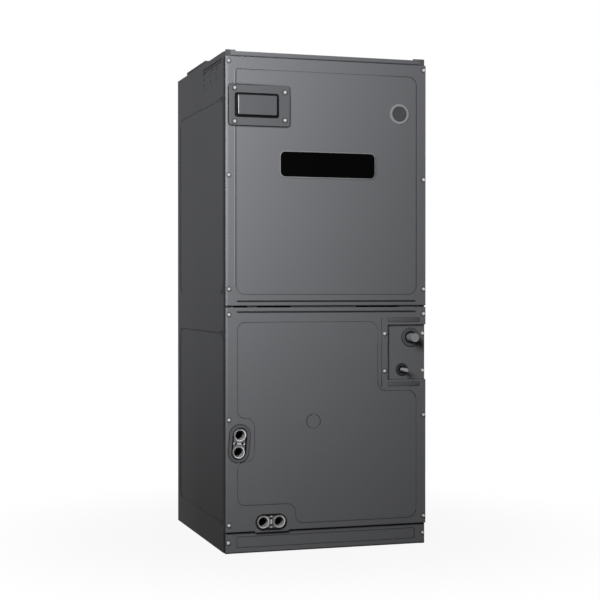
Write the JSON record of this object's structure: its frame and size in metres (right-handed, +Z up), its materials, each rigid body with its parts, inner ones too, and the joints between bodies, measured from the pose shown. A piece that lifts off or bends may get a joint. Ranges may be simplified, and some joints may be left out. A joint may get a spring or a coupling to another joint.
{
  "type": "air handler",
  "caption": "Tall grey floor-standing air handler: embossed access doors, filter door, drain ports and refrigerant stubs on the front, supply flange on top; coil and blower inside.",
  "frame": {"origin": "centre of the return-air opening in the base, on the floor plane", "axes": "+X to the right seen from the front, +Y to the back, +Z up; the doors face -Y"},
  "size_m": [0.5334, 0.579, 1.2686],
  "materials": {
    "cabinet_paint": "satin grey baked paint",
    "plate_paint": "darker satin paint",
    "gasket_grey": "moulded grey rubber",
    "galvanised": "galvanised sheet",
    "lining": "dark faced lining",
    "foam": "closed-cell foam",
    "rubber": "moulded rubber",
    "motor_paint": "black enamel",
    "motor_cast": "cast cover",
    "core_steel": "laminated core",
    "shaft_steel": "ground steel",
    "screw_zinc": "zinc plate",
    "board_green": "coated circuit board",
    "black_plastic": "moulded",
    "dark_plastic": "moulded",
    "ring_plastic": "moulded",
    "lens": "clear window",
    "badge_black": "gloss",
    "fin_aluminium": "mill finish fins",
    "copper": "drawn copper",
    "valve_brass": "machined",
    "pan_plastic": "moulded",
    "port_plastic": "moulded",
    "board": "card",
    "media": "pleated cloth"
  },
  "bodies": {
    "cabinet": {"left_side_panel": "cabinet_paint", "right_side_panel": "cabinet_paint", "back_panel": "cabinet_paint", "top_panel": "cabinet_paint", "supply_flange": "galvanised", "top_rail": "cabinet_paint", "mid_rail": "galvanised", "sill_rail": "cabinet_paint", "base_pan": "galvanised", "filter_rails": "galvanised", "cabinet_insulation": "lining", "blower_deck": "galvanised", "scroll_wrap": "galvanised", "scroll_sides": "galvanised", "blower_motor": "motor_paint", "motor_module": "motor_cast", "motor_mount": "screw_zinc", "control_panel": "galvanised", "control_board": "board_green", "transformer": "core_steel", "terminal_block": "black_plastic", "heater_blank_plate": "galvanised", "coil_slabs": "fin_aluminium", "tube_sheets": "galvanised", "return_bends": "copper", "coil_air_seals": "galvanised", "suction_line": "copper", "suction_feeders": "copper", "liquid_line": "copper", "expansion_valve": "valve_brass", "distributor": "valve_brass", "distributor_tubes": "copper", "drain_pan": "pan_plastic", "side_drain_pan": "pan_plastic", "drain_inserts": "port_plastic", "tube_plate": "cabinet_paint", "suction_grommet": "rubber", "liquid_grommet": "rubber", "tube_plate_screws": "screw_zinc"},
    "blower_rotor": {"blower_wheel": "galvanised", "wheel_rings": "galvanised", "motor_shaft": "shaft_steel"},
    "upper_access_door": {"upper_door": "cabinet_paint", "upper_door_liner": "lining", "upper_door_seal": "foam", "breaker_plate": "plate_paint", "breaker_blank": "dark_plastic", "sight_ring": "ring_plastic", "sight_lens": "lens", "badge_plate": "badge_black", "upper_door_screws": "screw_zinc"},
    "lower_access_door": {"lower_door": "cabinet_paint", "lower_door_liner": "lining", "lower_door_seal": "foam", "port_gaskets": "gasket_grey", "lower_door_screws": "screw_zinc"},
    "filter_access_door": {"filter_door": "cabinet_paint", "filter_door_screws": "screw_zinc"},
    "air_filter": {"filter_frame": "board", "filter_media": "media"}
  },
  "joints": [
    {"name": "blower_spin", "type": "hinge", "parent": "cabinet", "child": "blower_rotor", "pos_m": [0, 0.01, 0.871], "axis": [1, 0, 0], "continuous": true},
    {"name": "upper_door_off", "type": "slide", "parent": "cabinet", "child": "upper_access_door", "axis": [0, -1, 0], "range_m": [0, 0.35]},
    {"name": "lower_door_off", "type": "slide", "parent": "cabinet", "child": "lower_access_door", "axis": [0, -1, 0], "range_m": [0, 0.35]},
    {"name": "filter_door_off", "type": "slide", "parent": "cabinet", "child": "filter_access_door", "axis": [0, -1, 0], "range_m": [0, 0.52]},
    {"name": "filter_out", "type": "slide", "parent": "cabinet", "child": "air_filter", "axis": [0, -1, 0], "range_m": [0, 0.52]}
  ],
  "couplings": [
    {"joint": "filter_out", "follows": "filter_door_off", "ratio": 1}
  ]
}
